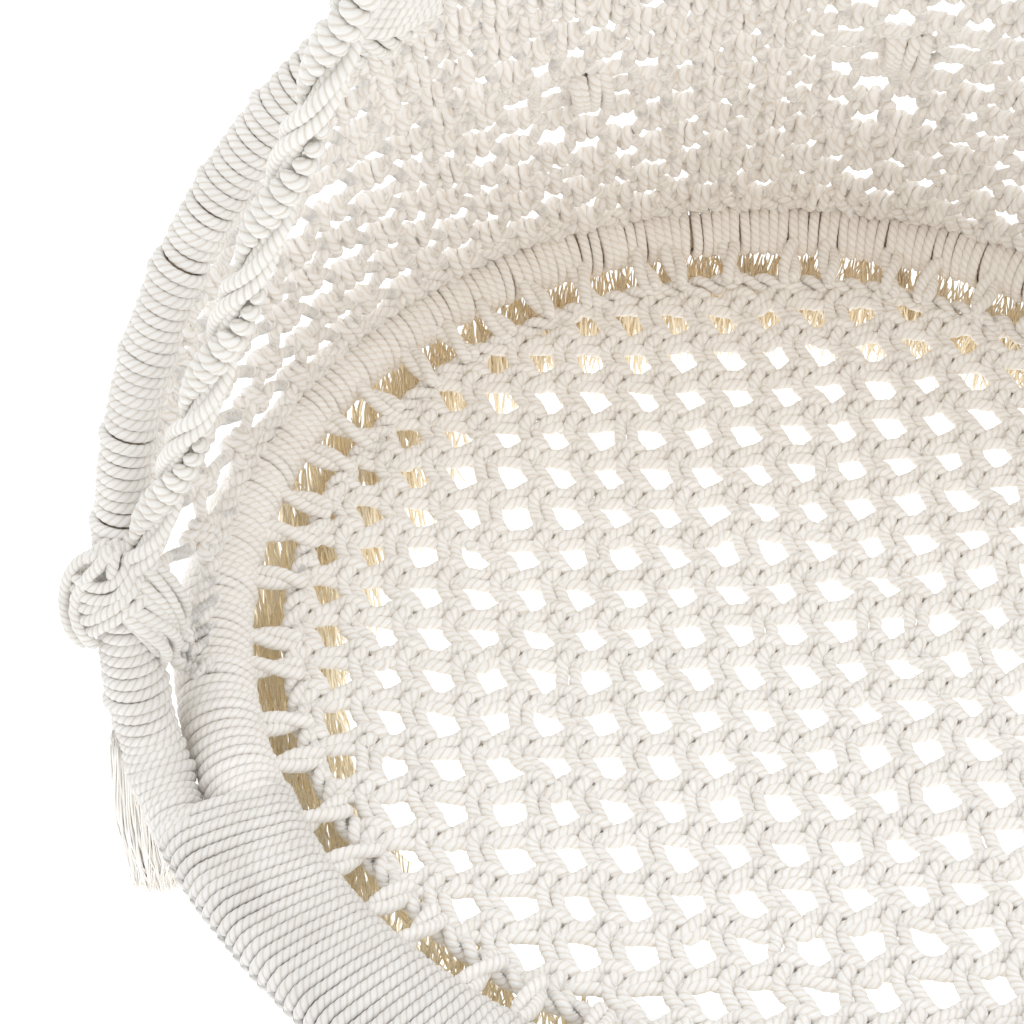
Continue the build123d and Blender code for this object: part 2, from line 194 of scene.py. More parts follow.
class Cords:
    """Gathers cords and makes them into meshes small enough to export."""

    MOST_RINGS = 10500

    def __init__(self, name, slot, material, groove=0.12, sides=9, body="chair"):
        self.name, self.slot, self.material = name, slot, material
        self.groove, self.sides, self.body = groove, sides, body
        self.made, self.batch, self.rings = [], [], 0

    def add(self, points, radius=CORD_R, side=None, seat=True):
        """points are the cord's ring centres; side is a direction that it doesn't run along."""
        p = to_row(points) if seat else np.asarray(points, float)
        radius = np.broadcast_to(radius, len(p))
        if len(p) < 4:
            return
        if side is None:
            side = carried(unit(np.gradient(p, axis=0)))
        else:
            side = np.broadcast_to(np.asarray(side, float), p.shape)
            side = side @ AXES if seat else side
        if self.rings + len(p) > self.MOST_RINGS and self.batch:
            self.flush()
        for start in range(0, len(p) - 3, self.MOST_RINGS - 10):
            end = min(len(p), start + self.MOST_RINGS - 9)
            if end - start < 4:
                break
            if start:
                self.flush()
            self.batch.append(self.tube(p[start:end], radius[start:end], side[start:end]))
            self.rings += end - start

    def tube(self, p, radius, side):
        ahead = unit(np.gradient(p, axis=0))
        gap = np.linalg.norm(np.diff(p, axis=0), axis=1)
        along = np.concatenate([[0], np.cumsum(gap)])
        right = unit(side - (side * ahead).sum(1, keepdims=True) * ahead)
        up = np.cross(ahead, right)
        twist = -2 * math.pi * along / LAY + rng.uniform(0, PHASE)
        a = 2 * math.pi * np.arange(self.sides) / self.sides
        strand = np.abs(np.sin(1.5 * a))
        lobes = 1 - self.groove * (1 - strand**0.7) if self.sides >= 9 else np.ones(self.sides)
        end = np.ones(len(p))
        end[[0, -1]] = 0.45
        end[[1, -2]] = 0.85
        r = (radius * end)[:, None] * lobes[None, :]
        turn = a[None, :] + (twist[:, None] if self.sides >= 9 else 0)
        co = p[:, None] + right[:, None] * (np.cos(turn) * r)[..., None]
        co = co + up[:, None] * (np.sin(turn) * r)[..., None]
        start = rng.uniform(0, 10)
        fibre = np.stack(
            [
                np.broadcast_to(along[:, None] + start, r.shape),
                np.broadcast_to(np.cos(a) * CORD_R, r.shape),
                np.broadcast_to(np.sin(a) * CORD_R + start, r.shape),
            ],
            axis=-1,
        )
        # crease is 1 in the valleys between strands; the cotton material paints shade there.
        crease = np.broadcast_to(1 - strand, r.shape)
        return co.reshape(-1, 3), fibre.reshape(-1, 3), crease.ravel(), len(p)

    def flush(self):
        if not self.batch:
            return
        n = self.sides
        co = np.concatenate([b[0] for b in self.batch])
        quads, caps, base = [], [], 0
        for _, _, _, count in self.batch:
            i = np.arange(count - 1)[:, None] * n + np.arange(n)[None, :]
            j = np.arange(count - 1)[:, None] * n + (np.arange(n) + 1)[None, :] % n
            quads.append(np.stack([i, j, j + n, i + n], axis=-1).reshape(-1, 4) + base)
            caps.append(base + np.arange(n)[::-1])
            caps.append(base + (count - 1) * n + np.arange(n))
            base += count * n
        quads = np.concatenate(quads)
        caps = np.array(caps)
        mesh = bpy.data.meshes.new(f"{self.name}_{len(self.made):02d}")
        loops = np.concatenate([quads.ravel(), caps.ravel()]).astype(np.int32)
        total = np.concatenate([np.full(len(quads), 4), np.full(len(caps), n)]).astype(np.int32)
        mesh.vertices.add(len(co))
        mesh.vertices.foreach_set("co", co.astype(np.float32).ravel())
        mesh.loops.add(len(loops))
        mesh.loops.foreach_set("vertex_index", loops)
        mesh.polygons.add(len(total))
        mesh.polygons.foreach_set("loop_start", (np.cumsum(total) - total).astype(np.int32))
        mesh.polygons.foreach_set("loop_total", total)
        mesh.polygons.foreach_set("use_smooth", np.ones(len(total), bool))
        fibre = np.concatenate([b[1] for b in self.batch]).astype(np.float32)
        mesh.attributes.new("fibre", "FLOAT_VECTOR", "POINT").data.foreach_set("vector", fibre.ravel())
        crease = np.concatenate([b[2] for b in self.batch]).astype(np.float32)
        mesh.attributes.new("crease", "FLOAT", "POINT").data.foreach_set("value", crease)
        mesh.update(calc_edges=True)
        mesh.materials.append(self.material)
        obj = bpy.data.objects.new(mesh.name, mesh)
        bpy.context.scene.collection.objects.link(obj)
        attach(obj, self.body)
        self.made.append(obj)
        self.batch, self.rings = [], 0

    def finish(self, *nodes):
        self.flush()
        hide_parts(*nodes)
        return self.made[0]


# ---- Materials ----------------------------------------------------------------------------------
class Nodes:
    """A node tree with short ways to add and join nodes."""

    def __init__(self, name):
        self.material = bpy.data.materials.new(name)
        self.material.use_nodes = True
        self.tree = self.material.node_tree
        self.shader = self.tree.nodes["Principled BSDF"]

    def add(self, kind, **values):
        node = self.tree.nodes.new(kind)
        for key, value in values.items():
            setattr(node, key, value)
        return node

    def join(self, source, target):
        self.tree.links.new(source, target)

    def noise(self, vector, scale, detail=3.0):
        node = self.add("ShaderNodeTexNoise")
        node.inputs["Scale"].default_value = scale
        node.inputs["Detail"].default_value = detail
        self.join(vector, node.inputs["Vector"])
        return node.outputs["Fac"]

    def ramp(self, value, stops):
        node = self.add("ShaderNodeValToRGB")
        while len(node.color_ramp.elements) < len(stops):
            node.color_ramp.elements.new(0.5)
        for element, (at, colour) in zip(node.color_ramp.elements, stops):
            element.position = at
            element.color = (*colour, 1)
        self.join(value, node.inputs["Fac"])
        return node.outputs["Color"]

    def mix(self, blend, amount, a, b):
        node = self.add("ShaderNodeMix", data_type="RGBA", blend_type=blend)
        if isinstance(amount, float):
            node.inputs[0].default_value = amount
        else:
            self.join(amount, node.inputs[0])
        self.join(a, node.inputs[6])
        if isinstance(b, tuple):
            node.inputs[7].default_value = (*b, 1)
        else:
            self.join(b, node.inputs[7])
        return node.outputs[2]

    def scaled(self, vector, amounts):
        node = self.add("ShaderNodeVectorMath", operation="MULTIPLY")
        self.join(vector, node.inputs[0])
        node.inputs[1].default_value = amounts
        return node.outputs["Vector"]

    def bump(self, height, strength, distance, below=None):
        node = self.add("ShaderNodeBump")
        node.inputs["Strength"].default_value = strength
        node.inputs["Distance"].default_value = distance
        self.join(height, node.inputs["Height"])
        if below is not None:
            self.join(below, node.inputs["Normal"])
        return node.outputs["Normal"]


HOOP_PAINT = (0.66, 0.54, 0.41)  # a guess: the tubes hardly show
FRONT_PAINTED_SHADE = (0.955, 0.96, 0.97)  # painted shade at the front, slightly greyer
REAR_PAINTED_SHADE = (0.965, 0.93, 0.885)  # painted shade at the rear, creamier


def cotton(name, pale, deep, crease_shade_colour):
    """Soft cotton: fine fibres along the strands, uneven tone, painted warm shade in the creases,
    painted shade greyer at the front and creamier at the rear.
    """
    m = Nodes(name)
    fibre = m.add("ShaderNodeAttribute", attribute_name="fibre").outputs["Vector"]
    crease = m.add("ShaderNodeAttribute", attribute_name="crease").outputs["Fac"]
    place = m.add("ShaderNodeTexCoord").outputs["Object"]
    fine = m.noise(m.scaled(fibre, (110, 1300, 1300)), 1.0, 4.0)
    tone = m.noise(place, 38.0, 4.0)
    colour = m.ramp(tone, [(0.3, deep), (0.62, pale)])
    streaks = m.ramp(fine, [(0.3, (0.90, 0.88, 0.85)), (0.6, (1, 1, 1))])
    colour = m.mix("MULTIPLY", 0.7, colour, streaks)
    # Painted shade in the creases: darker and warmer in the valleys between the strands.
    depth = m.add("ShaderNodeMath", operation="POWER")
    depth.inputs[1].default_value = 2.2
    m.join(crease, depth.inputs[0])
    colour = m.mix("MULTIPLY", depth.outputs[0], colour, crease_shade_colour)
    split = m.add("ShaderNodeSeparateXYZ")
    m.join(place, split.inputs[0])
    # Painted shade that changes from front to rear: greyer at the front, creamier at the rear.
    rear = m.add("ShaderNodeMapRange")
    rear.inputs["From Min"].default_value = -0.25
    rear.inputs["From Max"].default_value = 0.35
    m.join(split.outputs["Y"], rear.inputs["Value"])
    front_and_rear_shade = m.ramp(rear.outputs["Result"], [(0.0, FRONT_PAINTED_SHADE), (0.5, (1, 1, 1)), (1.0, REAR_PAINTED_SHADE)])
    colour = m.mix("MULTIPLY", 1.0, colour, front_and_rear_shade)
    m.join(colour, m.shader.inputs["Base Color"])
    normal = m.bump(fine, 0.35, 0.4 * MM)
    m.join(m.bump(tone, 0.15, 1.0 * MM, normal), m.shader.inputs["Normal"])
    m.shader.inputs["Roughness"].default_value = 0.95
    m.shader.inputs["Specular IOR Level"].default_value = 0.1
    m.shader.inputs["Sheen Weight"].default_value = 0.3
    m.shader.inputs["Sheen Roughness"].default_value = 0.6
    return m.material


def steel(name, colour, roughness, scale):
    """Drawn steel rod: fine lengthwise scratches and slightly uneven polish."""
    m = Nodes(name)
    place = m.add("ShaderNodeTexCoord").outputs["Object"]
    grain = m.noise(m.scaled(place, (scale, scale, scale * 0.15)), 1.0, 5.0)
    cloud = m.noise(place, 60.0, 3.0)
    dark = tuple(c * 0.86 for c in colour)
    m.join(m.ramp(cloud, [(0.3, dark), (0.7, colour)]), m.shader.inputs["Base Color"])
    rough = m.add("ShaderNodeMapRange")
    rough.inputs["To Min"].default_value = roughness - 0.07
    rough.inputs["To Max"].default_value = roughness + 0.09
    m.join(grain, rough.inputs["Value"])
    m.join(rough.outputs["Result"], m.shader.inputs["Roughness"])
    m.join(m.bump(grain, 0.12, 0.1 * MM), m.shader.inputs["Normal"])
    m.shader.inputs["Metallic"].default_value = 1.0
    return m.material


def paint(name):
    """The hoops' paint: matt, a little mottled, with faint brush grain."""
    m = Nodes(name)
    place = m.add("ShaderNodeTexCoord").outputs["Object"]
    cloud = m.noise(place, 45.0, 4.0)
    dark = tuple(c * 0.85 for c in HOOP_PAINT)
    m.join(m.ramp(cloud, [(0.3, dark), (0.7, HOOP_PAINT)]), m.shader.inputs["Base Color"])
    m.join(m.bump(m.noise(place, 700.0, 3.0), 0.2, 0.1 * MM), m.shader.inputs["Normal"])
    m.shader.inputs["Roughness"].default_value = 0.6
    return m.material


wrap_cotton = cotton("wrap_cotton", (0.93, 0.915, 0.895), (0.89, 0.87, 0.845), (0.88, 0.83, 0.76))
# A darker copy of the same cotton, for the lashing and the back hoop's wraps: painted shade.
shaded_lash_cotton = cotton("shaded_lash_cotton", (0.835, 0.825, 0.805), (0.765, 0.75, 0.725), (0.82, 0.77, 0.70))
net_cotton = cotton("net_cotton", (0.94, 0.93, 0.91), (0.90, 0.885, 0.86), (0.86, 0.80, 0.72))
# A darker copy of the same cotton, for the back panel: painted shade.
shaded_panel_cotton = cotton("shaded_panel_cotton", (0.905, 0.895, 0.88), (0.855, 0.84, 0.82), (0.86, 0.80, 0.72))
rope_cotton = cotton("rope_cotton", (0.82, 0.81, 0.78), (0.76, 0.745, 0.715), (0.80, 0.75, 0.68))
fringe_cotton = cotton("fringe_cotton", (0.985, 0.93, 0.79), (0.975, 0.88, 0.67), (0.98, 0.95, 0.88))
tail_cotton = cotton("tail_cotton", (0.98, 0.97, 0.95), (0.97, 0.94, 0.89), (0.98, 0.96, 0.92))
for node, material in (
    ("carabiner_body", steel("carabiner_steel", (0.60, 0.60, 0.61), 0.28, 900)),
    ("carabiner_gate", steel("gate_steel", (0.64, 0.64, 0.65), 0.24, 900)),
    ("gate_pin", steel("pin_steel", (0.50, 0.50, 0.50), 0.35, 1500)),
    ("gate_spring", steel("spring_steel", (0.55, 0.55, 0.55), 0.30, 1500)),
    ("hanging_ring", steel("ring_steel", (0.58, 0.58, 0.59), 0.28, 900)),
    ("seat_hoop", paint("hoop_paint")),
    ("back_hoop", paint("back_hoop_paint")),
):
    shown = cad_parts[node].data.materials
    shown.clear()
    shown.append(material)


# ---- Camera and light ---------------------------------------------------------------------------
def set_camera():
    """The camera stands in front of the chair and looks down past the left suspension rope."""
    camera = bpy.data.objects.new("camera", bpy.data.cameras.new("camera"))
    bpy.context.scene.collection.objects.link(camera)
    camera.data.lens = 92.8
    camera.data.clip_end = 50
    eye = to_row([-0.1632, -0.8882, 1.0399])
    right = np.array([0.99987, -0.01609, -0.00014]) @ AXES
    up = np.array([0.01191, 0.73441, 0.67860]) @ AXES
    matrix = Matrix.Identity(4)
    matrix.col[0][:3], matrix.col[1][:3], matrix.col[2][:3] = right, up, np.cross(right, up)
    matrix.translation = Vector(eye)
    camera.matrix_world = matrix
    bpy.context.scene.camera = camera


def area_light(name, place, aim, power, size, colour=(1, 1, 1)):
    light = bpy.data.objects.new(name, bpy.data.lights.new(name, "AREA"))
    bpy.context.scene.collection.objects.link(light)
    light.data.energy, light.data.size, light.data.color = power, size, colour
    light.location = place
    light.rotation_euler = (Vector(aim) - Vector(place)).to_track_quat("-Z", "Y").to_euler()


def set_studio():
    world = bpy.data.worlds.new("studio")
    bpy.context.scene.world = world
    world.use_nodes = True
    world.node_tree.nodes["Background"].inputs["Color"].default_value = (1, 1, 1, 1)
    world.node_tree.nodes["Background"].inputs["Strength"].default_value = 1.08
    area_light("key", (-1.6, 0.9, 1.2), (0, 0, -1.1), 6, 1.2)
    area_light("fill", (1.5, -1.6, 0.6), (0, 0, -1.1), 10, 1.6)
    m = Nodes("paper")
    place = m.add("ShaderNodeTexCoord").outputs["Object"]
    m.join(m.ramp(m.noise(place, 3.0), [(0.3, (0.93, 0.93, 0.93)), (0.7, (0.95, 0.95, 0.95))]),
           m.shader.inputs["Base Color"])
    m.shader.inputs["Roughness"].default_value = 1.0
    m.shader.inputs["Emission Color"].default_value = (1, 1, 1, 1)
    m.shader.inputs["Emission Strength"].default_value = 0.45
    bpy.ops.mesh.primitive_plane_add(size=30, location=(0, 0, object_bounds()[0].z - 0.35))
    floor = bpy.context.object
    floor.name = "floor"
    floor.data.materials.append(m.material)
    bpy.context.scene.view_settings.view_transform = "Standard"
    # Pale cotton passes light on many times before it goes dark.
    bpy.context.scene.cycles.diffuse_bounces = 10


set_camera()
set_studio()


# ---- Rope wraps on the hoops --------------------------------------------------------------------
def wrap(cords, hoop, end, group, loose, proud=0.0, slant=0.0, fan=0.0):
    """Winds a cord round a hoop's tube, from end round the rear to end on the other side.

    group is the turns in a group, proud how far its last turn stands out, slant how far a turn
    leans along the hoop, fan the share by which a group draws together on its inner side."""
    seat = hoop is seat_point
    radius, tube = (SEAT_R, WRAP_R) if seat else (BACK_R, BACK_WRAP_R)
    turns = (2 * math.pi - 2 * end + 2 * WRAP_OVERLAP) * radius / WRAP_PITCH
    count = int(turns * 2 * math.pi * (tube + 2 * MM) / STEP)
    t = np.linspace(0, turns, count)
    angle = 2 * math.pi * t
    number = np.floor(t / group)
    middle = (number + 0.5) * group
    inner = np.maximum(0, np.cos(angle - math.pi)) ** 2
    last = np.clip((t - number * group - (group - 1.4)) / 0.3, 0, 1)
    last *= np.clip((group - (t - number * group)) / 0.15, 0, 1)
    lean = slant * np.sin(angle) + wander(count, 110, 0.7 * MM)
    s = WRAP_PITCH * (t + (middle - t) * fan * inner) + lean
    place = end - WRAP_OVERLAP + s / radius
    side = np.minimum(place, 2 * math.pi - place)
    swell = loose[0] * np.exp(-(((side - loose[1]) / loose[2]) ** 2))
    r = tube + proud * last + swell + wander(count, 40, 0.25 * MM) - 1.2 * MM * fan * inner
    centre, ahead, out, up = along_hoop(hoop, place)
    p = centre + out * (0.6 * swell)[:, None]
    p = p + out * (np.cos(angle) * r)[:, None] + up * (np.sin(angle) * r)[:, None]
    cords.add(p, CORD_R * (1.07 + wander(count, 60, 0.04)), side=ahead)


seat_wraps = Cords("seat_wrap", "wrap_rope", wrap_cotton, groove=0.08)
wrap(seat_wraps, seat_point, LASHING_END, 5.0, SEAT_LOOSE, proud=1.0 * MM, slant=1.5 * MM, fan=0.06)
seat_wraps.finish("seat_hoop_wrap")

back_wraps = Cords("back_wrap", "wrap_rope", shaded_lash_cotton, groove=0.08)
wrap(back_wraps, back_point, LASHING_END, 7.3, BACK_LOOSE, proud=1.7 * MM, slant=2.0 * MM)
back_wraps.finish("back_hoop_wrap_left", "back_hoop_wrap_right")


def lashing():
    """Common turns round both hoops along the front, over the gap in one straight run."""
    cords = Cords("lashing", "wrap_rope", shaded_lash_cotton, groove=0.10)
    gap = BACK_R - SEAT_R
    middle = SEAT_R + gap / 2
    turns = 2 * LASHING_END * middle / LASH_PITCH
    outer = math.pi * BACK_WRAP_R
    inner = math.pi * WRAP_R
    loop = 2 * gap + outer + inner
    t = np.linspace(0, turns, int(turns * loop / STEP))
    d = (t % 1) * loop
    on = [d < gap, d < gap + outer, d < 2 * gap + outer]
    share = np.clip(np.select(on, [d / gap, 1, 1 - (d - gap - outer) / gap], 0), 0, 1)
    turn = np.select(on, [0, (d - gap) / BACK_WRAP_R, math.pi], math.pi + (d - 2 * gap - outer) / WRAP_R)
    reach = WRAP_R + (BACK_WRAP_R - WRAP_R) * share
    crown = 1.6 * MM * np.sin(math.pi * share) * on[0]
    out = gap * share + reach * np.sin(turn)
    up = reach * np.cos(turn) + crown
    lean = 0.9 * LASH_PITCH * (share - 0.5) * np.sign(up)
    angle = -LASHING_END + (t * LASH_PITCH + lean + wander(len(t), 260, 0.5 * MM)) / middle
    # The back hoop starts to rise before the lashing ends.
    _, lift = rolled(-BACK_R * np.cos(angle) - BEND_Y)
    swell = 1 + 0.24 * np.exp(-(((np.abs(angle) - LASHING_END) / math.radians(9)) ** 2))
    swell = swell * (1 + wander(len(t), 700, 0.03))
    z = up * swell + wander(len(t), 60, 0.25 * MM) + lift * share
    p = seat_point(angle, SEAT_R + gap * share + (out - gap * share) * swell, z)
    ahead = unit(seat_point(angle + 1e-4) - seat_point(angle - 1e-4))
    cords.add(p, CORD_R * (1.09 + wander(len(t), 90, 0.035)), side=ahead)
    cords.finish("front_lashing")


lashing()


# ---- Seat net -----------------------------------------------------------------------------------
NET_CELL_U = float(np.linalg.norm(NET_ACROSS))
NET_CELL_V = float(np.linalg.norm(NET_ALONG))
# Routes past one crossing: across the cell, towards the front, and off the net, in millimetres.
NET_LEFT = [
    (-3.4, -14, 0),
    (-1.6, -8, -1),
    (0.2, -4.4, 0.8),
    (-1.6, -0.4, 4),
    (-5.4, 3.4, 3.2),
    (-5.8, 8.4, 0.6),
]
NET_RIGHT = [
    (3.4, -14, 0),
    (5.4, -8, -0.6),
    (6, -3.4, -3.2),
    (3.2, 1.6, -3.8),
    (0.8, 6.4, -0.8),
    (1.2, 9.8, 0.2),
]
NET_ARCH = [
    (-13.5, -3.8, -0.4),
    (-8, -6.2, 0.3),
    (-4.2, -7.6, 2.0),
    (0.6, -6.9, 3.8),
    (5.0, -4.8, 2.8),
    (8.5, -3.3, -0.6),
]
NET_CROSS = [(-12, -1.4, 1.8), (-7, -2.6, -0.8), (-1, 0.5, -2.0), (3.6, 2.6, 0.6), (8, 0.6, 2.9)]
NET_FOOT = [(-13.5, 4.8, 2.0), (-8, 4.4, 0.2), (0, 2.6, -1.0), (5, 3.9, 0.8), (9, 5.2, 2.0)]


def net_surface(x, y):
    return NET_RIM_Z - NET_SAG * (1 - (x * x + y * y) / SEAT_R**2)


def seat_net():
    cords = Cords("seat_net", "net_rope", net_cotton)
    u = NET_ACROSS / NET_CELL_U
    v = NET_ALONG / NET_CELL_V
    span = range(-NET_REACH, NET_REACH + 1)
    shift = {(i, j): rng.normal(0, 1.0, 2) for i in span for j in span}

    def lay(routes, forward):
        for fixed in span:
            for steps in routes:
                points = []
                for moving in span:
                    i, j = (moving, fixed) if forward else (fixed, moving)
                    node = NET_ORIGIN + i * NET_ACROSS + j * NET_ALONG
                    node[1] -= NET_GROWTH * max(0, j) ** 2
                    if np.linalg.norm(node) > SEAT_R + 40 * MM:
                        continue
                    move = shift[i, j]
                    for a, b, z in steps:
                        a, b = np.array([a + move[0], b + move[1]]) + rng.normal(0, 0.28, 2)
                        x, y = node + (u * a + v * b) * MM
                        points.append((x, y, net_surface(x, y) + z * MM))
                if len(points) < 8:
                    continue
                p = route(points)
                inside = np.linalg.norm(p[:, :2], axis=1) < NET_EDGE + rng.uniform(-1, 3) * MM
                if inside.sum() > 6:
                    cords.add(p[inside], NET_CORD_R, side=(0, 0, 1))

    lay([NET_ARCH, NET_CROSS, NET_FOOT], True)
    lay([NET_LEFT, NET_RIGHT], False)
    # The edge: a twisted pair round the rim, tied to the hoop by twisted pairs of cords.
    count = int(2 * math.pi * NET_EDGE / STEP)
    angle = np.linspace(0, 2 * math.pi, count)
    for half in (0, math.pi):
        twist = angle * 64 + half
        p = seat_point(angle, NET_EDGE + 3.0 * MM * np.cos(twist) + wander(count, 30, 0.5 * MM))
        p[:, 2] = net_surface(p[:, 0], p[:, 1]) + 2.0 * MM + 3.0 * MM * np.sin(twist)
        cords.add(p, CORD_R * 1.16, side=(0, 0, 1))
    for k in range(NET_TIES):
        a = 2 * math.pi * (k + rng.uniform(-0.2, 0.2)) / NET_TIES
        lean = rng.normal(2, 3) * MM / SEAT_R
        inner = SEAT_R - WRAP_R - 5 * MM
        t = np.linspace(0, 1, 14)
        for half in (0, math.pi):
            twist = 3.4 * t + half + k
            r = inner + 6 * MM + (NET_EDGE - 5 * MM - inner - 6 * MM) * t
            aa = a + lean * t + 3.6 * MM * np.cos(twist) / SEAT_R
            z = 2 * MM - 7 * MM * t + 2.4 * MM * np.sin(twist)
            cords.add(route(seat_point(aa, r, z)), NET_TIE_R, side=(0, 0, 1))
    cords.finish("seat_net")


seat_net()


# ---- Back panel ---------------------------------------------------------------------------------
PANEL_COLUMN = 16 * MM  # between two columns of knots, at the rear
PANEL_ROW = 31.5 * MM  # between two knots of a column, at the rear
PANEL_SPREAD = 0.0009  # how much wider the columns get towards the corners
PANEL_DRIFT = 5 * MM  # how far the columns wander from row to row
PANEL_GROWTH = 0.0005  # how much taller the rows get towards the corners
PANEL_CORD_R = CORD_R * 1.15
PANEL_TIE_R = CORD_R * 1.3
PANEL_COLUMNS = range(-26, 27)
PANEL_ROWS = range(-1, 15)
LEAST_RUN = 14  # a piece of panel cord with this many rings or fewer is left out
# Routes through one square knot: along the row, up the panel, towards the sitter, in millimetres.
KNOT_UPPER = [
    (-11, 3.4, 0.5),
    (-8, 5.8, 2.2),
    (-5.4, 4.6, 4.4),
    (-1.6, -1.6, 5.0),
    (1.0, -6.4, 1.6),
    (3.0, -5.0, -3.0),
    (4.0, 1.0, -4.6),
    (5.8, 6.2, -1.4),
    (8, 5.8, 1.4),
    (11, 3.4, 0.8),
]
KNOT_LOWER = [
    (-11, -3.4, -0.5),
    (-8, -5.8, -2.2),
    (-6.0, -4.0, -4.4),
    (-4.6, 2.0, -4.4),
    (-2.6, 6.4, 0.8),
    (0.6, 4.8, 4.4),
    (4.2, -1.2, 5.0),
    (6.6, -5.8, 2.2),
    (8.6, -5.4, -1.0),
    (11, -3.4, -0.8),
]
CORE_UPPER = [(-11, 1.6, 2.2), (-4, 2.9, 0.4), (4, 2.9, 0.4), (11, 1.4, 1.8)]
CORE_LOWER = [(-11, -1.8, -2.2), (-4, -2.9, -0.4), (4, -2.9, -0.4), (11, -1.4, -1.8)]
# Places where many cords are gathered in one big knot: columns from the middle, rows, size.
GATHERS = [(-5.8, 4.7, 1.0), (11, 3.0, 1.0), (16, 1.6, 0.8), (3.4, 5.6, 1.0), (-14, 5.4, 0.9)]


def panel_point(s, q, off):
    """A point of the panel: s round the seat hoop, q up from it, off towards the sitter."""
    angle = s / SEAT_R

    def ruled(a, up):
        low = seat_point(a, SEAT_R + 2 * MM, 17 * MM)
        line = back_point(a) - low
        length = np.linalg.norm(line, axis=-1, keepdims=True)
        share = np.asarray(up)[..., None] / length
        out = np.stack([-np.sin(a), -np.cos(a), np.zeros_like(a)], axis=-1)
        belly = 22 * MM * 4 * np.clip(share, 0, 1) * np.clip(1 - share, 0, 1)
        return low + line * share + out * belly, length[..., 0]

    p, length = ruled(angle, q)
    ahead = ruled(angle + 1e-3, q)[0] - p
    rise = ruled(angle, q + 1e-4)[0] - p
    inward = unit(np.cross(rise, ahead))
    return p + inward * off[..., None], inward, length


def gathered(column, row):
    """How strongly a knot's place belongs to a big knot, and how far that one's row is."""
    best, pull = 0.0, 0.0
    for c, r, size in GATHERS:
        near = math.exp(-(((column - c) / (2.4 * size)) ** 2) - ((row - r) / (1.4 * size)) ** 2)
        if near > best:
            best, pull = near, r - row
    return best, pull


def panel_row(row, rise, steps_even, steps_odd):
    """One cord's route along the panel; it takes turns between its row and the one beside."""
    points = []
    for column in PANEL_COLUMNS:
        odd = column % 2
        s = (math.pi * SEAT_R) + PANEL_COLUMN * column * (1 + PANEL_SPREAD * column**2)
        s += PANEL_DRIFT * math.sin(0.8 * row + 0.2 * column)
        grown = 1 + PANEL_GROWTH * column**2
        place = row + 0.5 * rise * odd
        pull, away = gathered(column, place)
        seed = 9000 + column * 100 + round(2 * place)
        move = np.random.default_rng(seed).normal(0, 1.9 + 0.05 * abs(column), 2)
        q = (place + 0.3 + 0.62 * pull * away) * PANEL_ROW * grown
        for a, b, z in steps_odd if odd else steps_even:
            da, db = rng.normal(0, 0.4, 2)
            flat = 1 - min(1.0, 1.4 * pull)
            a = a * (0.58 + 0.006 * abs(column))
            b = b * (0.4 + 0.6 * flat)
            points.append((s + (a + da + move[0]) * MM, q + (b + db + move[1]) * MM, z * flat * MM))
    return route(points)


def lay_on_panel(cords, flat, low=-4 * MM, radius=PANEL_CORD_R):
    """Adds a cord given in the panel's own measures, cut where it leaves the panel."""
    p, inward, length = panel_point(flat[:, 0], flat[:, 1], flat[:, 2])
    keep = (flat[:, 1] > low) & (flat[:, 1] < length - 8 * MM)
    keep &= np.abs(flat[:, 0] - math.pi * SEAT_R) < (math.pi - PANEL_START) * SEAT_R
    edges = np.flatnonzero(np.diff(np.concatenate([[0], keep.astype(int), [0]])))
    for a, b in zip(edges[::2], edges[1::2]):
        if b - a > LEAST_RUN:
            cords.add(p[a:b], radius, side=inward[a:b])


def back_panel():
    cords = Cords("back_panel", "net_rope", shaded_panel_cotton)
    for row in PANEL_ROWS:
        lay_on_panel(cords, panel_row(row, 1, KNOT_UPPER, KNOT_LOWER))
        lay_on_panel(cords, panel_row(row, 1, CORE_UPPER, CORE_LOWER))
        lay_on_panel(cords, panel_row(row, -1, KNOT_LOWER, KNOT_UPPER))
        lay_on_panel(cords, panel_row(row, -1, CORE_LOWER, CORE_UPPER))
    # The lower edge hangs free over the seat hoop: two cords twisted in small scallops.
    t = np.linspace(0, 1, 900)
    s = math.pi * SEAT_R + (2 * t - 1) * (math.pi - PANEL_START) * SEAT_R
    for half in (0, math.pi):
        twist = s / (3.4 * MM) + half
        q = 2.5 * MM + 1.4 * MM * np.sin(s / (4.9 * MM)) + 2.8 * MM * np.sin(twist)
        lay_on_panel(cords, np.stack([s, q, 1.5 * MM + 2.8 * MM * np.cos(twist)], axis=1), -9 * MM)
    # Four turns of cord tied round each gathering.
    for c, r, size in GATHERS:
        s = math.pi * SEAT_R + PANEL_COLUMN * c * (1 + PANEL_SPREAD * c**2)
        q = (r + 0.3) * PANEL_ROW * (1 + PANEL_GROWTH * c**2)
        for shift in (-7.5, -2.5, 2.5, 7.5):
            t = np.linspace(0, 2 * math.pi, 60)
            across = shift * size + 1.2 * np.sin(t + 0.4 * shift)
            flat = np.stack(
                [
                    s + across * MM,
                    q + (15.5 * size + 1.5 * math.sin(shift)) * MM * np.cos(t),
                    8.6 * MM * np.sin(t),
                ],
                axis=1,
            )
            lay_on_panel(cords, flat, radius=PANEL_TIE_R)
    cords.finish("back_panel")


back_panel()


# ---- Suspension ropes ---------------------------------------------------------------------------
COLLAR_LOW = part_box("rope_collar")[0].z
COLLAR_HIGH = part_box("rope_collar")[1].z
BRAID_TURN = 92 * MM  # one full turn of the spiral
BRAID_KNOT = 7.2 * MM  # between two crossings
ROPE_APART = 12.5 * MM  # the ropes' upper ends, sideways from the middle
ROPE_DEPTH = 12 * MM  # and to the front or rear


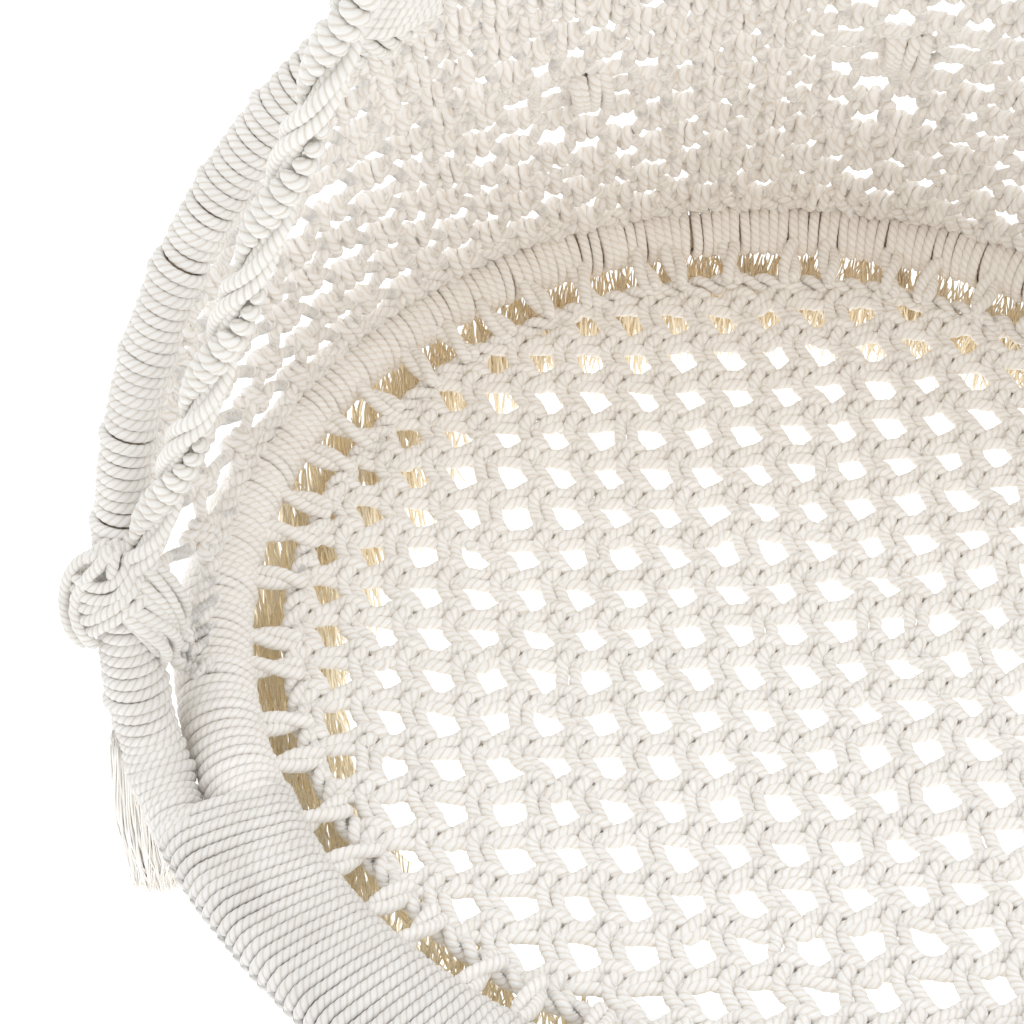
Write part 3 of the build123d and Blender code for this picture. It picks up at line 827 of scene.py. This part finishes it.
def braid(cords, low, high):
    """A spiral of half knots: two smooth cords on one side, a row of short crossings on the other.

    A filling cord runs inside. The crossings are separate pieces, tapered at both ends."""
    axis = high - low
    length = float(np.linalg.norm(axis))
    ahead = axis / length
    right = unit(np.cross(ahead, [0.0, 1.0, 0.0]))
    up = np.cross(right, ahead)

    def lay(s, a, r, radius):
        away = right * np.cos(a)[:, None] + up * np.sin(a)[:, None]
        p = low + ahead * s[:, None] + away * np.broadcast_to(r, s.shape)[:, None]
        cords.add(p, radius, side=away, seat=False)

    s = np.linspace(0, length, int(1.2 * length / STEP))
    slow = -2 * math.pi * s / BRAID_TURN
    for place in (-0.55, 0.55):
        r = 6.4 * MM + wander(len(s), 30, 0.3 * MM)
        lay(s, slow + place + 0.12 * np.sin(s / (7 * MM)), r, CORD_R * 1.16)
    lay(s, slow, 1.5 * MM, CORD_R * 1.5)
    t = np.linspace(-1, 1, 17)
    for k in range(int(length / BRAID_KNOT)):
        s = (k + 0.5) * BRAID_KNOT + 3 * MM * t + rng.normal(0, 0.3 * MM)
        a = math.pi - 2 * math.pi * s / BRAID_TURN + 1.35 * t
        lay(s, a, 7.5 * MM - 3.2 * MM * t**2, CORD_R * 1.32 * (1 - 0.22 * t**2))
    return [low + ahead * x for x in np.linspace(0, length, 24)]


def suspension():
    """The four ropes, each from its place on the back hoop up into the collar."""
    for place, angle, depth in (("front", FRONT_HITCH, -ROPE_DEPTH), ("rear", REAR_HITCH, ROPE_DEPTH)):
        for side, name in ((1, "left"), (-1, "right")):
            tied = to_row(back_point(np.array(side * angle)))
            top = np.array([-side * ROPE_APART, depth, COLLAR_LOW])
            away = unit(top - tied)
            low = tied + away * 18 * MM
            cords = Cords(f"{place}_rope_{name}", "hanging_rope", rope_cotton, groove=0.10)
            path = braid(cords, low, top + away * 4 * MM)
            rope = cords.finish(f"{place}_rope_{name}")


suspension()


# The knot on the back hoop, seen by the sitter on the left: outwards, along the hoop, towards the
# middle of the chair's front, in millimetres from the hoop's centre.
KNOT_OUTSIDE = [
    [(1, 37, 16), (9, 31, 15), (19, 24, 10), (26, 12, 6), (28, 0, 4), (26, -11, 5), (20, -20, 4)],
    [(0, 36, 20), (6, 27, 19), (14, 18, 15), (20, 8, 12), (22, 0, 11), (20, -10, 11), (14, -19, 9)],
]
KNOT_ACROSS = [
    [(22, 18, 4), (16, 16, 14), (8, 14, 17), (0, 17, 19), (-6, 24, 18), (-9, 32, 12)],
    [(23, 12, 4), (16, 9, 14), (8, 8, 18), (0, 10, 20), (-6, 17, 20), (-10, 26, 14)],
    [(22, 5, 4), (16, 3, 14), (9, 4, 17), (3, 7, 16), (-3, 12, 14)],
    [(21, -3, 3), (16, -3, 14), (8, 1, 19), (0, 6, 21), (-7, 12, 20), (-12, 20, 14)],
    [(19, -10, 1), (14, -9, 13), (6, -4, 18), (-1, 0, 20), (-9, 5, 20), (-15, 10, 13)],
]
KNOT_RIGHT = [
    [(-3, 1, 21), (-9, -5, 21), (-15, -12, 18), (-19, -20, 12), (-18, -28, 4), (-10, -32, -6)],
    [(-6, 5, 20), (-13, -1, 19), (-20, -8, 15), (-24, -16, 8), (-22, -25, -1), (-14, -31, -9)],
    [(-8, 26, 14), (-15, 20, 14), (-21, 10, 11), (-25, -1, 7), (-26, -12, 1), (-22, -22, -8)],
    [(-10, 30, 9), (-18, 22, 10), (-24, 12, 6), (-28, 2, 1), (-28, -9, -6), (-20, -18, -12)],
]
KNOT_BEHIND = [
    [(13, -25, -6), (2, -22, -17), (-12, -12, -20), (-22, 2, -12), (-24, 12, 4)],
    [(22, 18, 4), (14, 14, -14), (0, 10, -20), (-14, 4, -18), (-24, -6, -6)],
    [(19, -10, 1), (12, -8, -16), (-2, -4, -20), (-16, -2, -15), (-25, 2, -2)],
    [(-9, 32, 12), (-3, 30, -8), (8, 22, -16), (18, 12, -10), (24, 6, 2)],
]
# Cords that only close the holes between the others.
KNOT_FILL = [
    [(2, 9, 19), (-5, 4, 20), (-11, -2, 19), (-16, -9, 16), (-18, -17, 10), (-16, -26, 2)],
    [(-4, 14, 17), (-11, 8, 17), (-17, 1, 15), (-21, -8, 10), (-21, -18, 3), (-15, -26, -5)],
    [(-5, 20, 16), (-12, 14, 16), (-18, 6, 14), (-22, -4, 9), (-23, -14, 3), (-18, -24, -6)],
    [(14, 27, 13), (9, 30, 16), (2, 33, 17), (-4, 37, 15)],
    [(10, 22, 16), (6, 27, 18), (0, 31, 19), (-6, 36, 16)],
    [(-2, 12, 13), (-9, 3, 15), (-14, -6, 14), (-17, -14, 9), (-14, -24, 2)],
    [(-5, 16, 11), (-12, 7, 12), (-18, -3, 10), (-20, -12, 5), (-16, -24, -2)],
    [(4, 4, 13), (-3, -3, 15), (-9, -11, 14), (-13, -19, 9), (-12, -27, 1)],
]
KNOT_STEM = [
    [(10, 20, 13), (5, 27, 17), (1, 36, 17)],
    [(2, 18, 18), (0, 27, 19), (-3, 36, 18)],
    [(-6, 22, 18), (-7, 30, 17), (-8, 40, 13)],
]

# The rear hitches, which are out of the picture: a coil round the hoop and five cords across it.
REAR_COIL = [
    [(15.5 * math.cos(a), -13 + 2 * a / 1.9, 15.5 * math.sin(a)) for a in np.arange(0, 29, 0.5)],
    [(8, -10, 19), (-1, -2, 21), (-7, 7.5, 19), (-10, 17, 15), (-11, 27, 11.5)],
    [(14, -4.5, 15.5), (6, 3, 20), (-1, 11, 20), (-6, 19.5, 17), (-8.5, 29, 14)],
    [(4, -12, 20), (-5, -4, 21), (-10, 6, 18), (-12, 16, 14), (-12, 26, 10)],
    [(12, -8, 17), (3, 0, 21), (-4, 9, 20), (-8, 18, 16), (-10, 28, 13)],
    [(16, -1, 14), (9, 6, 19), (2, 13, 20), (-4, 21, 18), (-7, 30, 16)],
]


def hitches():
    """Each suspension rope's foot: its cords part, close round the hoop and are tucked in."""
    routes = [*KNOT_OUTSIDE, *KNOT_ACROSS, *KNOT_RIGHT, *KNOT_BEHIND, *KNOT_STEM, *KNOT_FILL]
    for place, angle in (("front", FRONT_HITCH), ("rear", REAR_HITCH)):
        for side, name in ((1, "left"), (-1, "right")):
            cords = Cords(f"{place}_hitch_{name}", "hanging_rope", rope_cotton, groove=0.08)
            centre, ahead, out, up = along_hoop(back_point, np.array(side * angle))
            ahead = side * ahead
            face = np.cross(ahead, out) * side
            frame_axes = np.stack([out, ahead, face])
            for steps in routes if place == "front" else REAR_COIL:
                points = route(np.array(steps) * MM)
                flow = np.linalg.norm(points[:, [0, 2]], axis=1, keepdims=True)
                least = BACK_WRAP_R + 5.4 * MM
                push = np.maximum(1, least / np.maximum(flow, 1e-4))
                points[:, [0, 2]] *= push
                cords.add(centre + points @ frame_axes, CORD_R * 1.06)
            cords.finish(f"{place}_hitch_{name}")


hitches()


def crown():
    """The upper ends: cords looped over the ring, bound by a close winding."""
    cords = Cords("rope_eye", "top_rope", rope_cotton)
    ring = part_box("hanging_ring")[0].z + 4 * MM
    half = [(-11.5, -24), (-10.5, -9), (-8.6, 1), (-5.6, 6.4)]
    loop = half + [(0, 8.4)] + [(-y, z) for y, z in half[::-1]]
    for x in (-6.2, 0, 6.2):
        points = [(x * MM, y * MM, ring + z * MM) for y, z in loop]
        cords.add(route(points), side=(1, 0, 0), seat=False)
    cords.finish("rope_eye")
    cords = Cords("rope_collar", "top_rope", rope_cotton)
    pitch = 5.9 * MM
    turns = (COLLAR_HIGH - COLLAR_LOW - 5 * MM) / pitch
    radius = 23 * MM
    count = int(turns * 2 * math.pi * radius / STEP)
    t = np.linspace(0, turns, count)
    a = 2 * math.pi * t
    r = radius + wander(count, 60, 0.2 * MM) - 2 * MM * np.cos(np.pi * t / turns) ** 8
    z = COLLAR_LOW + 2.5 * MM + pitch * t
    cords.add(np.stack([r * np.cos(a), r * np.sin(a), z], axis=1), side=(0, 0, 1), seat=False)
    for k in range(8):
        a = 2 * math.pi * (k + 0.5) / 8
        x, y = math.cos(a), math.sin(a)
        points = [
            (x * 17 * MM, y * 17 * MM, COLLAR_LOW - 1 * MM),
            (x * 18 * MM, y * 18 * MM, COLLAR_HIGH - 12 * MM),
            (x * 12 * MM, y * 14 * MM, COLLAR_HIGH + 1 * MM),
            (x * 5 * MM, y * 9 * MM, COLLAR_HIGH + 3 * MM),
        ]
        cords.add(route(points), seat=False)
    cords.finish("rope_collar")


crown()


# ---- Fringe and tassels -------------------------------------------------------------------------
FRINGE_YARNS = 1500  # in each quarter
FRINGE_OUTER = 301  # from the seat's centre, in millimetres
FRINGE_DEEP = 62  # length of the longest yarns at the front and rear, in millimetres
FRINGE_DEEPER = 43  # how much longer they are at the sides, in millimetres
TASSEL_YARNS = 1000


def fringe():
    """Combed-out rope ends that hang from the underside of the seat's rim."""
    quarter = math.pi / 2
    corner = math.sqrt(0.5)
    for k, name in enumerate(("front", "left", "rear", "right")):
        cords = Cords(f"fringe_{name}", "fringe_yarn", fringe_cotton, sides=4)
        width = 34 if name == "rear" else 58
        for _ in range(FRINGE_YARNS):
            a = (k - 0.5 + rng.uniform(0, 1)) * quarter
            r = (FRINGE_OUTER - width * rng.uniform(0, 1) ** 1.2) * MM
            deeper = max(0, abs(math.sin(a)) - corner) / (1 - corner)
            drop = rng.uniform(0.62, 1.0) * (FRINGE_DEEP + FRINGE_DEEPER * deeper) * MM
            inward = rng.normal(1, 7) * MM
            around = rng.normal(0, 9) * MM / SEAT_R
            wave = rng.uniform(0, PHASE)
            t = np.linspace(0, 1, 9)
            rr = r - inward * t + 3 * MM * np.sin(9 * t + wave) * t
            aa = a + around * t + 3 * MM / SEAT_R * np.cos(8 * t + wave) * t
            z = net_surface(r, 0) - 7 * MM - drop * t
            cords.add(seat_point(aa, rr, z), rng.uniform(0.5, 0.85) * MM, side=(1, 0.3, 0.1))
        cords.finish(f"fringe_{name}")


def tassels():
    """The two bunches of yarn that hang outside the back hoop."""
    for side, name in ((1, "left"), (-1, "right")):
        cords = Cords(f"tassel_{name}", "fringe_yarn", tail_cotton, sides=5)
        low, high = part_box(f"corner_tassel_{name}")
        middle = (low + high) / 2
        top = high.z - 6 * MM
        for _ in range(TASSEL_YARNS):
            x = middle.x + (1.5 * side + rng.uniform(-12, 12)) * MM
            y = middle.y + rng.uniform(-16, 16) * MM
            curl = rng.uniform(-6, 6) * MM
            edge = ((x - middle.x) / (15 * MM)) ** 2 + ((y - middle.y) / (16 * MM)) ** 2
            drop = (top - low.z) * (1 - 0.07 * edge) * rng.uniform(0.93, 1.02)
            wave = rng.uniform(0, PHASE)
            t = np.linspace(0, 1, 18)
            bulge = 0.8 + 0.3 * np.sin(math.pi * t)
            xx = middle.x + (x - middle.x) * bulge + curl * t**4 + 1.5 * MM * np.sin(6 * t + wave)
            yy = middle.y + (y - middle.y) * bulge + 1.5 * MM * np.cos(5 * t + wave)
            points = np.stack([xx, yy, top - drop * t], axis=1)
            cords.add(points, rng.uniform(0.4, 0.7) * MM, side=(0.1, 1, 0), seat=False)
        cords.finish(f"corner_tassel_{name}")


fringe()
tassels()
